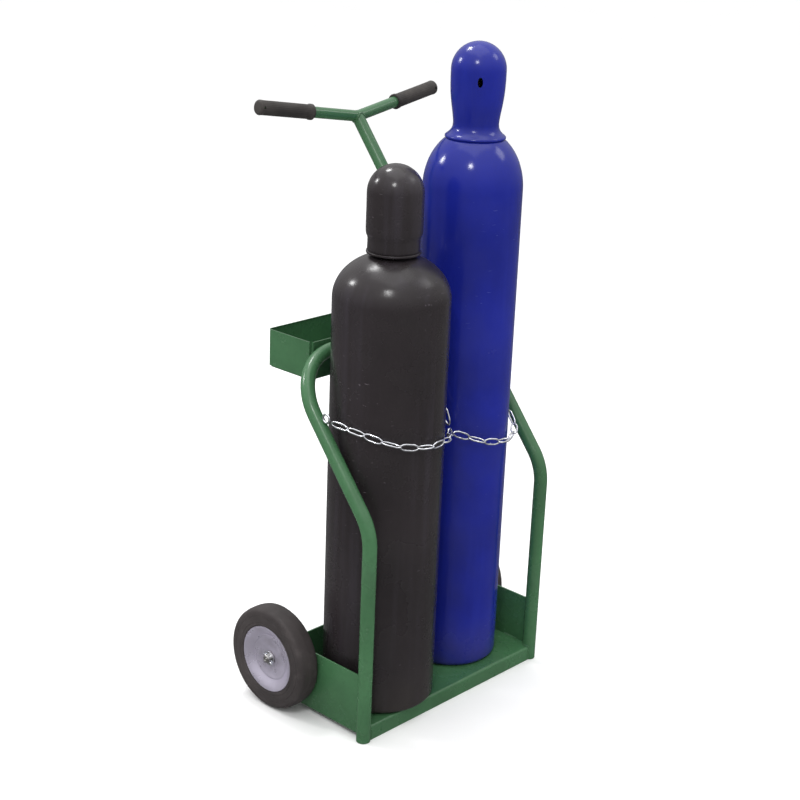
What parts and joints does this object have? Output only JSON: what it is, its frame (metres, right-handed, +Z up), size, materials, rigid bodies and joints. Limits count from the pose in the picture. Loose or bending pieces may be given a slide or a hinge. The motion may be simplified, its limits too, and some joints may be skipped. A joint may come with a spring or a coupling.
{
  "type": "oxy acetylene torch cart",
  "caption": "Two-wheeled hand cart with a sheet base tray, bent-tube frame, leaning T handle and tool tray, holding a tall oxygen and a shorter acetylene cylinder, capped and chained.",
  "frame": {"origin": "on the ground, at the bottom centre of the whole cart's bounding box", "axes": "+Z up; +Y to the rear, where the handle and tool tray are; +X along the axle, to the right of someone who stands at the open front and looks at the cart"},
  "size_m": [0.553, 0.3688, 1.1815],
  "materials": {
    "green_paint": "semi-gloss enamel",
    "acetylene_paint": "semi-gloss enamel",
    "oxygen_paint": "gloss enamel",
    "tyre_rubber": "moulded solid rubber",
    "grip_rubber": "moulded rubber",
    "wheel_disc_paint": "silver-lavender enamel",
    "zinc_plate": "bright zinc plate",
    "bare_steel": "turned steel",
    "brass": "forged and turned brass",
    "nylon_bush": "moulded"
  },
  "bodies": {
    "cart_frame": {"frame_hoop": "green_paint", "floor_plate": "green_paint", "rear_plate": "green_paint", "left_side_plate": "green_paint", "right_side_plate": "green_paint", "mast_tube": "green_paint", "handle_bar": "green_paint", "left_grip": "grip_rubber", "right_grip": "grip_rubber", "tool_tray": "green_paint", "axle": "bare_steel", "left_cotter_pin": "zinc_plate", "right_cotter_pin": "zinc_plate", "left_axle_washer": "zinc_plate", "right_axle_washer": "zinc_plate", "left_axle_spacer": "zinc_plate", "right_axle_spacer": "zinc_plate", "left_chain_eye": "zinc_plate", "right_chain_eye": "zinc_plate", "mast_chain_eye": "zinc_plate", "chain_ring": "zinc_plate", "chain_left_span": "zinc_plate", "chain_right_span": "zinc_plate", "chain_centre_span": "zinc_plate"},
    "left_wheel": {"left_tyre": "tyre_rubber", "left_outer_disc": "wheel_disc_paint", "left_inner_disc": "wheel_disc_paint", "left_hub_sleeve": "bare_steel", "left_hub_bush": "nylon_bush"},
    "right_wheel": {"right_tyre": "tyre_rubber", "right_outer_disc": "wheel_disc_paint", "right_inner_disc": "wheel_disc_paint", "right_hub_sleeve": "bare_steel", "right_hub_bush": "nylon_bush"},
    "acetylene_cylinder": {"acetylene_cylinder_shell": "acetylene_paint", "acetylene_neck_ring": "acetylene_paint", "acetylene_valve_body": "brass", "acetylene_safety_plug": "brass", "acetylene_bonnet_nut": "brass"},
    "acetylene_handwheel": {"acetylene_valve_spindle": "bare_steel", "acetylene_handwheel": "zinc_plate", "acetylene_handwheel_nut": "zinc_plate"},
    "acetylene_cap": {"acetylene_cap": "acetylene_paint"},
    "oxygen_cylinder": {"oxygen_cylinder_shell": "oxygen_paint", "oxygen_neck_ring": "oxygen_paint", "oxygen_valve_body": "brass", "oxygen_safety_plug": "brass", "oxygen_bonnet_nut": "brass"},
    "oxygen_handwheel": {"oxygen_valve_spindle": "bare_steel", "oxygen_handwheel": "green_paint", "oxygen_handwheel_nut": "zinc_plate"},
    "oxygen_cap": {"oxygen_cap": "oxygen_paint"}
  },
  "joints": [
    {"name": "left_wheel_spin", "type": "hinge", "parent": "cart_frame", "child": "left_wheel", "pos_m": [-0.25475, 0.0561, 0.096], "axis": [1, 0, 0], "continuous": true},
    {"name": "right_wheel_spin", "type": "hinge", "parent": "cart_frame", "child": "right_wheel", "pos_m": [0.25475, 0.0561, 0.096], "axis": [1, 0, 0], "continuous": true},
    {"name": "acetylene_cylinder_lift", "type": "slide", "parent": "cart_frame", "child": "acetylene_cylinder", "axis": [0, 0, 1], "range_m": [0, 0.6]},
    {"name": "acetylene_cap_lift", "type": "slide", "parent": "acetylene_cylinder", "child": "acetylene_cap", "axis": [0, 0, 1], "range_m": [0, 0.2]},
    {"name": "acetylene_valve_turn", "type": "hinge", "parent": "acetylene_cylinder", "child": "acetylene_handwheel", "pos_m": [-0.1125, -0.0676, 0.944], "axis": [0, 0, 1], "range_deg": [0, 540]},
    {"name": "oxygen_cylinder_lift", "type": "slide", "parent": "cart_frame", "child": "oxygen_cylinder", "axis": [0, 0, 1], "range_m": [0, 0.6]},
    {"name": "oxygen_cap_lift", "type": "slide", "parent": "oxygen_cylinder", "child": "oxygen_cap", "axis": [0, 0, 1], "range_m": [0, 0.2]},
    {"name": "oxygen_valve_turn", "type": "hinge", "parent": "oxygen_cylinder", "child": "oxygen_handwheel", "pos_m": [0.107, -0.0456, 1.124], "axis": [0, 0, 1], "range_deg": [0, 1080]}
  ]
}
